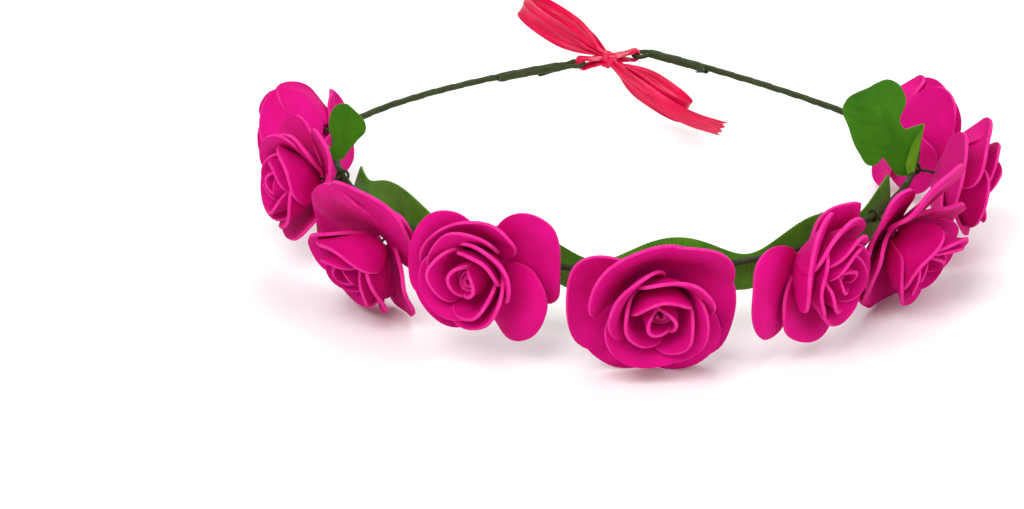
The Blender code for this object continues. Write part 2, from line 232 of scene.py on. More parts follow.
camera = {"elevation": 26, "distance": 1.1, "lens": 140.4, "left": 31.1 * mm, "down": 31.0 * mm}


def makeCamera():
    middle = wire["shift"] + upright * wire["height"]
    tilt = math.radians(camera["elevation"])
    back = Vector((0, -math.cos(tilt), math.sin(tilt)))
    above = Vector((0, math.sin(tilt), math.cos(tilt)))
    aim = middle - Vector((camera["left"], 0, 0)) - above * camera["down"]
    bpy.ops.object.camera_add(location=aim + back * camera["distance"])
    eye = bpy.context.object
    eye.data.lens = camera["lens"]
    eye.data.sensor_width = 36
    eye.rotation_mode = "QUATERNION"
    eye.rotation_quaternion = (-back).to_track_quat("-Z", "Y")
    eye.data.clip_start = 0.05
    bpy.context.scene.camera = eye


lights = {
    "key": {"place": (-0.45, -0.75, 1.15), "size": 0.9, "power": 15},
    "fill": {"place": (0.8, -0.5, 0.7), "size": 0.9, "power": 5.5},
    "back": {"place": (0.1, 0.9, 0.9), "size": 0.7, "power": 7},
}


def makeLights():
    for name, spec in lights.items():
        bpy.ops.object.light_add(type="AREA", location=spec["place"])
        lamp = bpy.context.object
        lamp.name = name
        lamp.data.size = spec["size"]
        lamp.data.energy = spec["power"]
        lamp.rotation_mode = "QUATERNION"
        lamp.rotation_quaternion = (-Vector(spec["place"])).to_track_quat("-Z", "Y")
    world = bpy.data.worlds.new("studio")
    world.use_nodes = True
    world.node_tree.nodes["Background"].inputs["Color"].default_value = (1, 1, 1, 1)
    world.node_tree.nodes["Background"].inputs["Strength"].default_value = 0.5
    bpy.context.scene.world = world
    bpy.context.scene.view_settings.view_transform = "Standard"


def makeFloor():
    bpy.ops.mesh.primitive_plane_add(size=12)
    floor = bpy.context.object
    floor.name = "floor"
    paint = bpy.data.materials.new("paleFloor")
    paint.use_nodes = True
    paint.node_tree.nodes["Principled BSDF"].inputs["Base Color"].default_value = (0.93, 0.93, 0.93, 1)
    paint.node_tree.nodes["Principled BSDF"].inputs["Roughness"].default_value = 0.9
    floor.data.materials.append(paint)


makeCamera()
makeLights()
makeFloor()
print("stage: camera, lights and floor")


# materials

def addNode(tree, kind, **values):
    node = tree.nodes.new(kind)
    for name, value in values.items():
        if name in node.inputs:
            node.inputs[name].default_value = value
        else:
            setattr(node, name, value)
    return node


def mathNode(tree, operation, first, second=None):
    node = addNode(tree, "ShaderNodeMath", operation=operation)
    for socket, value in zip(node.inputs, (first, second)):
        if isinstance(value, bpy.types.NodeSocket):
            tree.links.new(value, socket)
        elif value is not None:
            socket.default_value = value
    return node.outputs[0]


def newGroup(name, inputs, outputs):
    group = bpy.data.node_groups.new(name, "ShaderNodeTree")
    for label, kind in inputs.items():
        group.interface.new_socket(label, in_out="INPUT", socket_type="NodeSocket" + kind)
    for label in outputs:
        group.interface.new_socket(label, in_out="OUTPUT", socket_type="NodeSocketFloat")
    return group, group.nodes.new("NodeGroupInput"), group.nodes.new("NodeGroupOutput")


def makeGrainGroup():
    sockets = {"Place": "Vector", "Cloud Scale": "Float", "Speck Scale": "Float"}
    group, given, result = newGroup("cloudAndSpeck", sockets, ("Cloud", "Speck"))
    for label in ("Cloud", "Speck"):
        texture = addNode(group, "ShaderNodeTexNoise", Detail=3.0, Roughness=0.6)
        group.links.new(given.outputs["Place"], texture.inputs["Vector"])
        group.links.new(given.outputs[label + " Scale"], texture.inputs["Scale"])
        group.links.new(texture.outputs["Fac"], result.inputs[label])
    return group


def makeThreadGroup():
    sockets = {"Place": "Vector", "Along": "Float", "Across": "Float"}
    group, given, result = newGroup("crossedThreads", sockets, ("Height",))
    parts = addNode(group, "ShaderNodeSeparateXYZ")
    group.links.new(given.outputs["Place"], parts.inputs[0])
    waves = []
    for axis, label in (("X", "Along"), ("Y", "Across")):
        turns = mathNode(group, "MULTIPLY", parts.outputs[axis], given.outputs[label])
        waves.append(mathNode(group, "SINE", turns))
    group.links.new(mathNode(group, "MAXIMUM", *waves), result.inputs["Height"])
    return group


grainGroup = makeGrainGroup()
threadGroup = makeThreadGroup()

# scales are per metre on the object, or per millimetre where the surface's own map is used
# the threads' strength sets their bump and also a painted shade in their grooves, with a painted highlight on
# their ridges
finishes = {
    "foamFace": {"light": (0.66, 0.0002, 0.215), "dark": (0.50, 0.0001, 0.135), "cloud": 140, "speck": 2600,
                 "grain": 0.35, "roughness": 0.8, "specular": 0.12},
    "foamEdge": {"light": (0.74, 0.036, 0.30), "dark": (0.66, 0.008, 0.21), "cloud": 240, "speck": 2600,
                 "grain": 0.8, "roughness": 0.85, "specular": 0.1},
    "crepeTape": {"light": (0.046, 0.066, 0.016), "dark": (0.013, 0.02, 0.006), "cloud": 0.35, "speck": 4.0,
                  "grain": 0.9, "roughness": 0.62, "specular": 0.2, "mapped": (0.5, 2.2),
                  "threads": (7.0, 0.0), "weaveAndPaintedShade": 0.25},
    "stemTape": {"light": (0.045, 0.07, 0.016), "dark": (0.015, 0.024, 0.006), "cloud": 500, "speck": 4000,
                 "grain": 0.9, "roughness": 0.65, "specular": 0.2},
    "leafCloth": {"light": (0.062, 0.25, 0.004), "dark": (0.012, 0.095, 0.0004), "cloud": 62, "speck": 2400,
                  "grain": 0.25, "roughness": 0.55, "specular": 0.2},
    "leafBack": {"light": (0.13, 0.34, 0.012), "dark": (0.07, 0.22, 0.003), "cloud": 90, "speck": 2400,
                 "grain": 0.25, "roughness": 0.6, "specular": 0.2},
    "grosgrain": {"light": (0.082, 0.30, 0.005), "dark": (0.02, 0.12, 0.001), "cloud": 0.12, "speck": 5.0,
                  "grain": 0.3, "roughness": 0.5, "specular": 0.25, "mapped": (1, 1), "threads": (7.85, 0.0),
                  "weaveAndPaintedShade": 0.6, "sheen": 0.08},
    "satin": {"light": (0.82, 0.0002, 0.085), "dark": (0.42, 0.0001, 0.022), "cloud": 0.2, "speck": 6.0,
              "grain": 0.12, "roughness": 0.28, "specular": 0.35, "mapped": (0.6, 3.0),
              "threads": (0.0, 26.0), "weaveAndPaintedShade": 0.12, "anisotropic": 0.5},
    "drawnSteel": {"light": (0.42, 0.43, 0.44), "dark": (0.25, 0.25, 0.26), "cloud": 300, "speck": 3000,
                   "grain": 0.3, "roughness": 0.34, "specular": 0.5, "metallic": 1.0},
}


def makeFinish(name, spec):
    material = bpy.data.materials.new(name)
    material.use_nodes = True
    tree = material.node_tree
    shader = tree.nodes["Principled BSDF"]
    shader.inputs["Roughness"].default_value = spec["roughness"]
    shader.inputs["Specular IOR Level"].default_value = spec["specular"]
    shader.inputs["Metallic"].default_value = spec.get("metallic", 0.0)
    shader.inputs["Sheen Weight"].default_value = spec.get("sheen", 0.0)
    shader.inputs["Anisotropic"].default_value = spec.get("anisotropic", 0.0)
    if "mapped" in spec:
        where = addNode(tree, "ShaderNodeUVMap", uv_map="UVMap").outputs["UV"]
        stretch = addNode(tree, "ShaderNodeMapping", Scale=(*spec["mapped"], 1))
        tree.links.new(where, stretch.inputs["Vector"])
        place = stretch.outputs["Vector"]
    else:
        where = place = addNode(tree, "ShaderNodeTexCoord").outputs["Object"]
    grain = addNode(tree, "ShaderNodeGroup", node_tree=grainGroup)
    grain.inputs["Cloud Scale"].default_value = spec["cloud"]
    grain.inputs["Speck Scale"].default_value = spec["speck"]
    tree.links.new(place, grain.inputs["Place"])
    mixed = mathNode(tree, "MULTIPLY", grain.outputs["Speck"], 0.35)
    spread = addNode(tree, "ShaderNodeMapRange", **{"From Min": 0.4, "From Max": 0.95})
    tree.links.new(mathNode(tree, "ADD", mixed, grain.outputs["Cloud"]), spread.inputs["Value"])
    shade = spread.outputs[0]
    height = mathNode(tree, "MULTIPLY", grain.outputs["Speck"], spec["grain"])
    if "threads" in spec:
        threads = addNode(tree, "ShaderNodeGroup", node_tree=threadGroup)
        threads.inputs["Along"].default_value, threads.inputs["Across"].default_value = spec["threads"]
        tree.links.new(where, threads.inputs["Place"])
        weaveAndPaintedShade = mathNode(tree, "MULTIPLY", threads.outputs["Height"], spec["weaveAndPaintedShade"])
        height = mathNode(tree, "ADD", height, weaveAndPaintedShade)
        # the threads also paint light into the colour: painted shade in the grooves between them and a
        # painted highlight on their ridges, over the real bump
        shade = mathNode(tree, "SUBTRACT", shade, mathNode(tree, "MULTIPLY", weaveAndPaintedShade, 0.6))
    mix = addNode(tree, "ShaderNodeMix", data_type="RGBA")
    tree.links.new(shade, mix.inputs[0])
    mix.inputs[6].default_value = (*spec["light"], 1)
    mix.inputs[7].default_value = (*spec["dark"], 1)
    tree.links.new(mix.outputs[2], shader.inputs["Base Color"])
    bump = addNode(tree, "ShaderNodeBump", Strength=1.0, Distance=0.00008)
    tree.links.new(height, bump.inputs["Height"])
    tree.links.new(bump.outputs["Normal"], shader.inputs["Normal"])
    return material


finish = {name: makeFinish(name, spec) for name, spec in finishes.items()}
print("materials:", len(finish))


# roses: each petal is a round blank bent into its place

blank = {"sides": 24, "rings": 5}


def makePetalBlank():
    bpy.ops.mesh.primitive_circle_add(vertices=blank["sides"], radius=1, fill_type="NGON")
    disc = bpy.context.object
    disc.name = "petalBlank"
    bpy.ops.object.mode_set(mode="EDIT")
    bpy.ops.mesh.select_all(action="SELECT")
    for ring in range(blank["rings"]):
        bpy.ops.mesh.inset(thickness=1 / (blank["rings"] + 0.6))
    bpy.ops.mesh.poke()
    bpy.ops.object.mode_set(mode="OBJECT")
    disc.data.materials.append(finish["foamFace"])
    disc.data.materials.append(finish["foamEdge"])
    return disc


petalBlank = makePetalBlank()

sheetThickness = 1.0 * mm

# how a petal flattens near its neighbours and the floor: the gap it keeps, and where it begins
press = {"gap": 0.8 * mm, "soft": 3 * mm, "floorGap": 0.75 * mm}

whorls = {
    "outer": {"start": 1.5, "base": 6.4, "reach": 21.5, "halfWidth": 12.8, "slopes": (4, 30, 24),
              "wrap": 0.6, "bowl": 0.012, "lap": 0.13, "curl": -1.6, "ripple": 0.9, "pinch": 0.0},
    "middle": {"start": 1.4, "base": 8.2, "reach": 18.5, "halfWidth": 12.6, "slopes": (10, 62, 60),
               "wrap": 0.85, "bowl": 0.0, "lap": 0.13, "curl": -1.3, "ripple": 0.8, "pinch": 0.8},
    "inner": {"start": 1.3, "base": 10.0, "reach": 16.5, "halfWidth": 9.8, "slopes": (8, 74, 86),
              "wrap": 0.9, "bowl": 0.0, "lap": 0.14, "curl": -0.7, "ripple": 0.6, "pinch": 0.9},
    "core": {"start": 0.8, "base": 11.6, "reach": 12.5, "halfWidth": 7.2, "slopes": (20, 88, 94),
             "wrap": 0.95, "bowl": 0.0, "lap": 0.12, "curl": -0.3, "ripple": 0.4, "pinch": 0.5},
}

# each petal: bearing in degrees from the wire's way towards the top, width, reach, extra slope
usualPetals = {
    "outer": ((190, 1.0, 1.0, 0), (118, 1.1, 0.95, 12), (46, 1.0, 1.0, 8), (-26, 1.0, 1.0, 2),
              (262, 1.0, 0.9, 14)),
    "middle": ((150, 1, 1, 0), (60, 1, 1, 0), (-30, 1, 1, 0), (240, 1, 1, 0)),
    "inner": ((200, 1, 1, 0), (80, 1, 1, 0), (-40, 1, 1, 0)),
    "core": ((20, 1, 1, 0), (200, 1, 1, 0)),
}

roses = {
    "a": {"place": -97.5, "size": 0.99, "seed": 3, "turn": 24,
          "outer": ((195, 0.95, 0.9, 10), (110, 0.95, 0.8, 24), (40, 1.0, 0.85, 14), (-40, 1.05, 0.9, 6),
                    (255, 1.0, 0.9, 10))},
    "b": {"place": -73.3, "size": 0.925, "seed": 5, "turn": -18,
          "outer": ((170, 1.05, 1.0, -2), (100, 1.0, 0.82, 18), (35, 1.15, 1.05, -14), (-30, 1.1, 1.05, -8),
                    (255, 1.0, 0.95, 10))},
    "c": {"place": -49.2, "size": 0.97, "seed": 8, "turn": 10,
          "outer": ((112, 1.05, 1.08, -12), (58, 1.35, 1.12, -28), (12, 1.2, 1.12, -30), (172, 1.1, 1.1, -8),
                    (236, 1, 0.92, 8), (305, 1.05, 0.95, -4))},
    "d": {"place": -25.5, "size": 0.98, "seed": 12, "turn": -30,
          "outer": ((20, 1.15, 1.15, -16), (-36, 0.95, 0.98, -2), (98, 1.3, 0.84, 20), (158, 1.1, 1.0, 8),
                    (212, 1.05, 0.95, 10))},
    "e": {"place": 3, "size": 1.06, "seed": 21, "turn": 0,
          "outer": ((186, 1.05, 1.1, -8), (112, 1.25, 1.0, 8), (52, 1.1, 1.02, 6), (-20, 1.1, 1.05, -4),
                    (250, 1.05, 1.02, -6), (300, 0.95, 0.98, 0))},
    "f": {"place": 29.8, "size": 0.96, "seed": 34, "turn": 14,
          "outer": ((192, 1.15, 1.2, -18), (140, 1.25, 0.95, 16), (78, 1.3, 0.92, 20), (8, 1.15, 1.1, -6),
                    (285, 1, 0.95, 6), (240, 0.95, 1.0, 2))},
    "g": {"place": 54.8, "size": 0.985, "seed": 45, "turn": -8,
          "outer": ((150, 1.3, 1.2, -22), (95, 1.3, 1.15, -12), (35, 1.0, 0.95, 6), (-30, 1.1, 1.05, 0),
                    (262, 1.0, 1.0, 4), (205, 1.0, 1.0, 0))},
    "h": {"place": 78.2, "size": 0.95, "seed": 56, "turn": 30,
          "outer": ((160, 1.2, 1.0, -4), (95, 1.2, 1.0, 10), (30, 1.15, 0.95, 8), (-35, 1.0, 1.0, 0),
                    (235, 1.15, 1.05, -8))},
    "i": {"place": 100, "size": 0.995, "seed": 67, "turn": -12,
          "outer": ((165, 1.05, 0.95, 4), (95, 0.95, 0.78, 24), (20, 1.0, 0.9, 10), (-50, 1.0, 0.95, 4),
                    (235, 1.0, 0.9, 8))},
}
budRise = 11.7 * mm


def meshMiddle(node):
    places = [vertex.co for vertex in frame["nodes"][node].data.vertices]
    return sum(places, Vector()) / len(places)


def roseFrame(letter):
    joint = next(j for j in frame["joints"] if j["name"] == f"rose_{letter}_nod")
    middle = meshMiddle(f"rose_{letter}_bud")
    facing = (middle - meshMiddle(f"rose_{letter}_outer_petals")).normalized()
    bud = frame["nodes"][f"rose_{letter}_bud"].data.vertices
    lowest = min((vertex.co - middle).dot(facing) for vertex in bud)
    origin = middle + facing * (lowest - budRise)
    side = -Vector(joint["axis"])
    side = (side - facing * side.dot(facing)).normalized()
    turn = Matrix((side, facing.cross(side), facing)).transposed().to_4x4()
    return Matrix.Translation(origin) @ turn


def roseFences(letter):
    # the planes midway to the neighbours, which petals stay behind
    letters = list(roses)
    index = letters.index(letter)
    fences = []
    for hand in (-1, 1):
        if 0 <= index + hand < len(letters):
            between = (roses[letter]["place"] + roses[letters[index + hand]]["place"]) / 2
            fences.append((wirePoint(wireDistance(between)), wireWay(wireDistance(between)) * hand))
    return fences


def petalProfile(form):
    low, middle, high = (math.radians(slope) for slope in form["slopes"])
    steps = 40
    out, rise = form["start"] * mm, form["base"] * mm
    line = []
    for i in range(steps + 1):
        share = i / steps
        slope = (low * (1 - share) * (1 - 2 * share) + middle * 4 * share * (1 - share)
                 + high * share * (2 * share - 1))
        line.append((out, rise, slope))
        out += math.cos(slope) * form["reach"] * mm / steps
        rise += math.sin(slope) * form["reach"] * mm / steps
    return line


def petalPlace(x, y, form, line, bearing, seed):
    climb = (y + 1) / 2
    out, rise, slope = line[round(climb * (len(line) - 1))]
    across = x * form["halfWidth"] * mm * (0.78 + 0.3 * climb)
    bend = form["wrap"] * math.sin(slope) / max(out, 3 * mm) + form["bowl"] / mm
    side = math.sin(across * bend) / bend
    lift = (1 - math.cos(across * bend)) / bend
    edge = math.hypot(x, y)
    lift += form["lap"] * across * ease(climb * 1.6)
    lift += form["curl"] * mm * max(0, (edge - 0.55) / 0.45) ** 2 * ease(climb * 2)
    lift += form["ripple"] * mm * noise.noise(Vector((x * 1.2, y * 1.2, seed * 3.7))) * 2 * edge
    lift -= form["pinch"] * mm * max(0, 1 - abs(x) * 2.2) * climb ** 6
    out -= math.sin(slope) * lift
    rise += math.cos(slope) * lift
    turn = math.radians(bearing)
    return Vector((out * math.cos(turn) - side * math.sin(turn),
                   out * math.sin(turn) + side * math.cos(turn), rise))


def pressed(place, fences):
    soft = press["soft"]
    for between, way in fences:
        over = (place - between).dot(way) + press["gap"] + soft
        if over > 0:
            place = place - way * (over - soft * (1 - math.exp(-over / soft)))
    if place.z < press["floorGap"]:
        place = Vector((place.x, place.y, press["floorGap"] + (place.z - press["floorGap"]) * 0.05))
    return place


def makePetals(letter, label, spec, matrix, fences):
    form = whorls[label]
    rng = random.Random(spec["seed"] * 10 + len(label))
    turnBy = 0 if label in spec else spec["turn"]
    petals = []
    for index, (bearing, wide, reach, steeper) in enumerate(spec.get(label, usualPetals[label])):
        own = dict(form)
        own["reach"] *= rng.uniform(0.95, 1.04) * reach
        own["halfWidth"] *= rng.uniform(0.95, 1.06) * wide
        own["slopes"] = [slope + rng.uniform(-6, 6) + steeper * share
                         for slope, share in zip(form["slopes"], (0.3, 1, 1))]
        own["curl"] *= rng.uniform(0.4, 1.5)
        own["base"] += (index % 2) * 0.35
        turned = bearing + turnBy + rng.uniform(-8, 8)
        line = petalProfile(own)
        petal = bpy.data.objects.new("petal", petalBlank.data.copy())
        bpy.context.collection.objects.link(petal)
        for vertex in petal.data.vertices:
            x, y = vertex.co.x, vertex.co.y
            place = petalPlace(x, y, own, line, turned, spec["seed"] + index)
            vertex.co = pressed(matrix @ (place * spec["size"]), fences)
        petals.append(petal)
    return petals


def foamSheet(piece):
    addModifier(piece, "SUBSURF", levels=1)
    addModifier(piece, "SOLIDIFY", thickness=sheetThickness, offset=0, material_offset_rim=1,
                use_quality_normals=True)
    addModifier(piece, "BEVEL", width=0.2 * mm, segments=2, limit_method="ANGLE",
                angle_limit=math.radians(50))
    applyModifiers(piece)


budRoll = {"turns": 2.6, "first": 0.55, "grow": 1.22, "low": 11.4, "high": 18.6, "thickness": 0.95}


def makeBud(spec, matrix):
    def placeAt(share, height):
        turns = budRoll["turns"] * share
        radius = budRoll["first"] + budRoll["grow"] * turns
        bearing = turns * 2 * math.pi + spec["seed"]
        top = budRoll["high"] + 0.5 * math.sin(bearing * 2 + spec["seed"]) - 0.5 * share
        rise = budRoll["low"] + (top - budRoll["low"]) * (height + 1) / 2
        place = Vector((radius * math.cos(bearing), radius * math.sin(bearing), rise)) * mm
        return matrix @ (place * spec["size"])

    roll = gridSheet("roll", 72, 6, 30 * mm, 7 * mm, placeAt, finish["foamFace"], finish["foamEdge"])
    addModifier(roll, "SOLIDIFY", thickness=budRoll["thickness"] * mm, offset=0, material_offset_rim=1)
    addModifier(roll, "BEVEL", width=0.16 * mm, segments=2, limit_method="ANGLE",
                angle_limit=math.radians(50))
    applyModifiers(roll)
    return roll


stem = {
    "radius": 0.4 * mm, "coil": 1.5 * mm, "turns": 1.25, "pitch": 1.3 * mm,
    "neck": 3.6 * mm, "top": 11.4 * mm,
}


def makeStem(letter, spec, matrix):
    distance = wireDistance(spec["place"])
    root = wirePoint(distance)
    side = wireWay(distance)
    facing = matrix @ Vector((0, 0, stem["neck"])) - root
    facing = (facing - side * facing.dot(side)).normalized()
    up = facing.cross(side)
    points = []
    steps = 20
    for i in range(steps):
        turns = stem["turns"] * (1 - i / steps)
        bearing = 2 * math.pi * turns
        points.append(root - side * turns * stem["pitch"] - up * stem["coil"] * math.sin(bearing)
                      + facing * stem["coil"] * math.cos(bearing))
    points += [matrix @ Vector((0, 0, rise)) for rise in (stem["neck"], stem["neck"] * 1.6, stem["top"])]
    bpy.ops.curve.primitive_nurbs_path_add()
    stalk = bpy.context.object
    curve = stalk.data
    curve.splines.clear()
    spline = curve.splines.new("POLY")
    line = smoothLine(points, 3)
    spline.points.add(len(line) - 1)
    for point, place in zip(spline.points, line):
        point.co = (*place, 1)
    curve.bevel_depth = stem["radius"]
    curve.bevel_resolution = 2
    curve.use_fill_caps = True
    stalk.location = (0, 0, 0)
    curve.materials.append(finish["stemTape"])
    pick(stalk)
    bpy.ops.object.convert(target="MESH")
    stalk = joined([bpy.context.object], f"rose_{letter}_wound_stem")
    finishPiece(stalk, f"rose_{letter}", "floral_tape", f"rose_{letter}_stem")


def makeRoses():
    for letter, spec in roses.items():
        matrix = roseFrame(letter)
        fences = roseFences(letter)
        makeStem(letter, spec, matrix)
        for label in ("outer", "middle", "inner"):
            petals = makePetals(letter, label, spec, matrix, fences)
            whorl = joined(petals, f"rose_{letter}_{label}_whorl")
            foamSheet(whorl)
            finishPiece(whorl, f"rose_{letter}", "rose_foam", f"rose_{letter}_{label}_petals")
        core = joined(makePetals(letter, "core", spec, matrix, fences), "core")
        foamSheet(core)
        bud = joined([core, makeBud(spec, matrix)], f"rose_{letter}_rolled_bud")
        finishPiece(bud, f"rose_{letter}", "rose_foam", f"rose_{letter}_bud")
    print("roses:", len(roses))


makeRoses()
bpy.data.objects.remove(petalBlank)


# tape: wound on a slant, each turn lapping the one before

tape = {
    "radius": 0.84 * mm, "lap": 0.16 * mm, "pitch": 6.5 * mm, "lump": 0.1 * mm, "step": 0.45 * mm,
    "rowStart": -105, "rowEnd": 115, "break": 0.6 * mm, "leftFold": 22 * mm, "rightFold": 20 * mm,
    "cuff": 1.22 * mm, "eye": 0.6 * mm,
    "tuck": 3.2 * mm,  # how far an arm's tape runs in under its cuff
}


def woundRadius(radius, travelled, angle, hand=1):
    turn = (travelled / tape["pitch"] - hand * angle / (2 * math.pi)) % 1
    lap = ease(turn / 0.07) * (1 - turn)
    lump = noise.noise(Vector((travelled / (4 * mm), math.cos(angle), math.sin(angle))))
    return radius + tape["lap"] * lap + tape["lump"] * lump


def wireLine(start, end, offset=0.0):
    steps = round((end - start) / tape["step"])
    line = []
    for i in range(steps + 1):
        distance = start + (end - start) * i / steps
        line.append(wirePoint(distance) + upright.cross(wireWay(distance)) * offset)
    return line


def makeTapeRuns():
    rowStart, rowEnd = wireDistance(tape["rowStart"]), wireDistance(tape["rowEnd"])
    runs = {
        "left_arm": (wireStart + tape["leftFold"] + 2 * mm, rowStart - tape["break"]),
        "flower_row": (rowStart, rowEnd),
        "right_arm": (rowEnd + tape["break"], wireEnd - tape["rightFold"] - 2 * mm),
    }
    for name, (start, end) in runs.items():
        hand = -1 if name == "right_arm" else 1

        def shapeAt(travelled, angle):
            radius = woundRadius(tape["radius"], travelled, angle, hand)
            return radius * math.cos(angle), radius * math.sin(angle)

        first = start - (tape["tuck"] if name == "left_arm" else tape["break"] * 0.75)
        last = end + (tape["tuck"] if name == "right_arm" else tape["break"] * 0.75)
        run = tubeAlong(f"wound_tape_{name}", wireLine(first, last), 14, shapeAt, finish["crepeTape"])
        finishPiece(run, "ring", "floral_tape", f"tape_{name}")


def eyePath(side):
    # from the wire round the eye and back, as the core wire goes
    tip, other = wirePoint(wireStart), wirePoint(wireEnd)
    if side == "right":
        tip, other = other, tip
    ahead = (other - tip).normalized()
    across = upright.cross(ahead) * (-1 if side == "left" else 1)
    half = ((-1.2, 0.66), (0.0, 0.75), (1.0, 1.25), (2.0, 1.65), (3.0, 1.75), (4.0, 1.45), (4.7, 0.8),
            (4.95, 0.0))
    middle = tip + across * wire["strandPitch"] / 2
    near = [middle + (ahead * u - across * w) * mm for u, w in half]
    far = [middle + (ahead * u + across * w) * mm for u, w in reversed(half[:-1])]
    return smoothLine(near + far, 5), middle + ahead * half[-1][0] * mm


def makeCuffs():
    for side, fold in (("left", tape["leftFold"]), ("right", tape["rightFold"])):
        span = (wireStart + tape["break"], wireStart + fold)
        if side == "right":
            span = (wireEnd - fold, wireEnd - tape["break"])
        line = wireLine(*span, wire["strandPitch"] / 2)
        length = span[1] - span[0]

        def shapeAt(travelled, angle):
            fromEye = travelled if side == "left" else length - travelled
            radius = woundRadius(tape["cuff"], travelled, angle)
            close = 0.74 + 0.26 * ease((length - fromEye) / (0.9 * mm))
            thin = 0.86 + 0.14 * ease(fromEye / (2.5 * mm))
            return radius * close * math.cos(angle) * 1.05, radius * close * thin * math.sin(angle)

        cuff = tubeAlong("cuff", line, 16, shapeAt, finish["crepeTape"])

        def eyeShape(travelled, angle):
            radius = woundRadius(tape["eye"], travelled * 2, angle)
            return radius * math.cos(angle), radius * math.sin(angle)

        eye = tubeAlong("eye", eyePath(side)[0], 12, eyeShape, finish["crepeTape"])
        whole = joined([cuff, eye, makeFlap(side, span)], f"wound_tape_{side}_cuff")
        finishPiece(whole, "ring", "floral_tape", f"tape_{side}_cuff")


def makeFlap(side, span):
    # the tape's loose end, which stands off the winding
    start = span[0] + 1.5 * mm if side == "left" else span[0] - 0.5 * mm
    reach = 6.5 * mm if side == "left" else 4 * mm

    def placeAt(share, high):
        distance = start + reach * share
        inwards = upright.cross(wireWay(distance))
        middle = wirePoint(distance) + inwards * wire["strandPitch"] / 2
        turn = math.radians(-112 + 26 * high)
        away = tape["cuff"] + 0.16 * mm + 1.15 * mm * ease(share * 1.3 - 0.3) * (0.8 - 0.35 * high)
        return middle + (inwards * math.cos(turn) + upright * math.sin(turn)) * away

    flap = gridSheet("flap", 14, 6, reach, 2.4 * mm, placeAt, finish["crepeTape"])
    addModifier(flap, "SOLIDIFY", thickness=0.28 * mm, offset=0)
    applyModifiers(flap)
    return flap


makeTapeRuns()
makeCuffs()
frame["nodes"]["core_wire"].data.materials.clear()
frame["nodes"]["core_wire"].data.materials.append(finish["drawnSteel"])
print("tape: 3 runs and 2 cuffs")


# grosgrain ribbon: waves up and down inside the wire, with a second length lapped over its end

band = {
    "start": -72, "end": 66, "lapStart": 40, "lapEnd": 42.5, "width": 10 * mm, "thickness": 0.35 * mm,
    "radius": 77.5 * mm, "rise": -0.8 * mm, "fall": 0.03 * mm, "wave": 3.2 * mm,
    "waves": 12, "crest": 8,
    "rib": 0.8 * mm, "ribHeight": 0.07 * mm, "teeth": 4,
    "slack": 1.09,  # its flat length, as a share of its run along the wire
}


def bandMiddle(angle):
    turn = band["waves"] * math.radians(angle - band["crest"])
    slope = -band["wave"] * band["waves"] * math.sin(turn) / band["radius"]
    return band["rise"] - band["fall"] * angle + band["wave"] * math.cos(turn), slope


def makeBandStrip(start, end, inset, pinked):
    length = math.radians(end - start) * band["radius"]
    columns = round(length / (band["rib"] / 4))

    def placeAt(share, high):
        if pinked and share > 0.5:
            tooth = abs((high * band["teeth"] / 2) % 1 - 0.5) * 2
            share -= tooth * 1.2 * mm / length * ease((share - 0.9) * 10)
        angle = start + (end - start) * share
        rise, slope = bandMiddle(angle)
        lean = high * band["width"] / 2
        tilt = math.hypot(1, slope)
        angle -= math.degrees(lean * slope / tilt / band["radius"])
        rise += lean / tilt
        rib = band["ribHeight"] * math.cos(2 * math.pi * share * length / band["rib"])
        fold = 0.7 * mm * (1 + math.sin(math.radians(angle) * 9)) * (0.5 + 0.5 * high)
        edge = 0.1 * mm * max(0, abs(high) - 0.9) * 10
        radius = band["radius"] - inset - fold + rib - edge
        return outward(angle) * radius + wire["shift"] + upright * (wire["height"] + rise)

    return gridSheet("strip", columns, 12, length, band["width"], placeAt, finish["grosgrain"])


def makeBand():
    main = makeBandStrip(band["start"], band["lapEnd"], 0.0, True)
    second = makeBandStrip(band["lapStart"], band["end"], 0.55 * mm, False)
    ribbon = joined([main, second], "grosgrain_band")
    addModifier(ribbon, "SOLIDIFY", thickness=band["thickness"], offset=0)
    applyModifiers(ribbon)
    finishPiece(ribbon, "ring", "grosgrain", "ribbon_band")
    print("ribbon band:", len(ribbon.data.polygons), "faces")


makeBand()


# leaves: cut from stiffened cloth, with a crease down the middle

leaves = {
    "left": {
        "place": -78, "crease": ((0, 3), (2.5, 17)), "flat": (14 * mm, 16 * mm), "area": 124e-6,
        "outline": ((7.7, 11.7), (4.8, 16.5), (1, 18.5), (-1.5, 16.5), (-2.3, 11.1), (-1.6, 6), (-3.7, 7.2),
                    (-6.2, 7.8), (-4.5, 4.2), (-1.5, 2.6), (1.2, 2.6), (2.6, 4.6), (5.3, 8.1)),
        "sharp": (), "turnedEdge": (),
    },
    "right": {
        "place": 70, "crease": ((-1, 3), (-9, 26)), "flat": (21.8 * mm, 27 * mm), "area": 430e-6,
        "outline": ((-17.8, 22.8), (-10.7, 27.5), (-5, 29.6), (-1.2, 24.5), (-2.6, 18.3), (-1.2, 15.9),
                    (3.9, 18), (1.7, 4.1), (0.4, 2.7), (-2.6, 2.7), (-5, 5.6), (-6.6, 8), (-9.6, 5.6),
                    (-13.4, 9.7), (-16.3, 16.8)),
        "sharp": (5, 6, 11),
        "turnedEdge": ((3.9, 18), (1.9, 4.2), (0.0, 3.2), (-0.6, 6), (0.8, 12)),
    },
}
leafThickness = 0.45 * mm


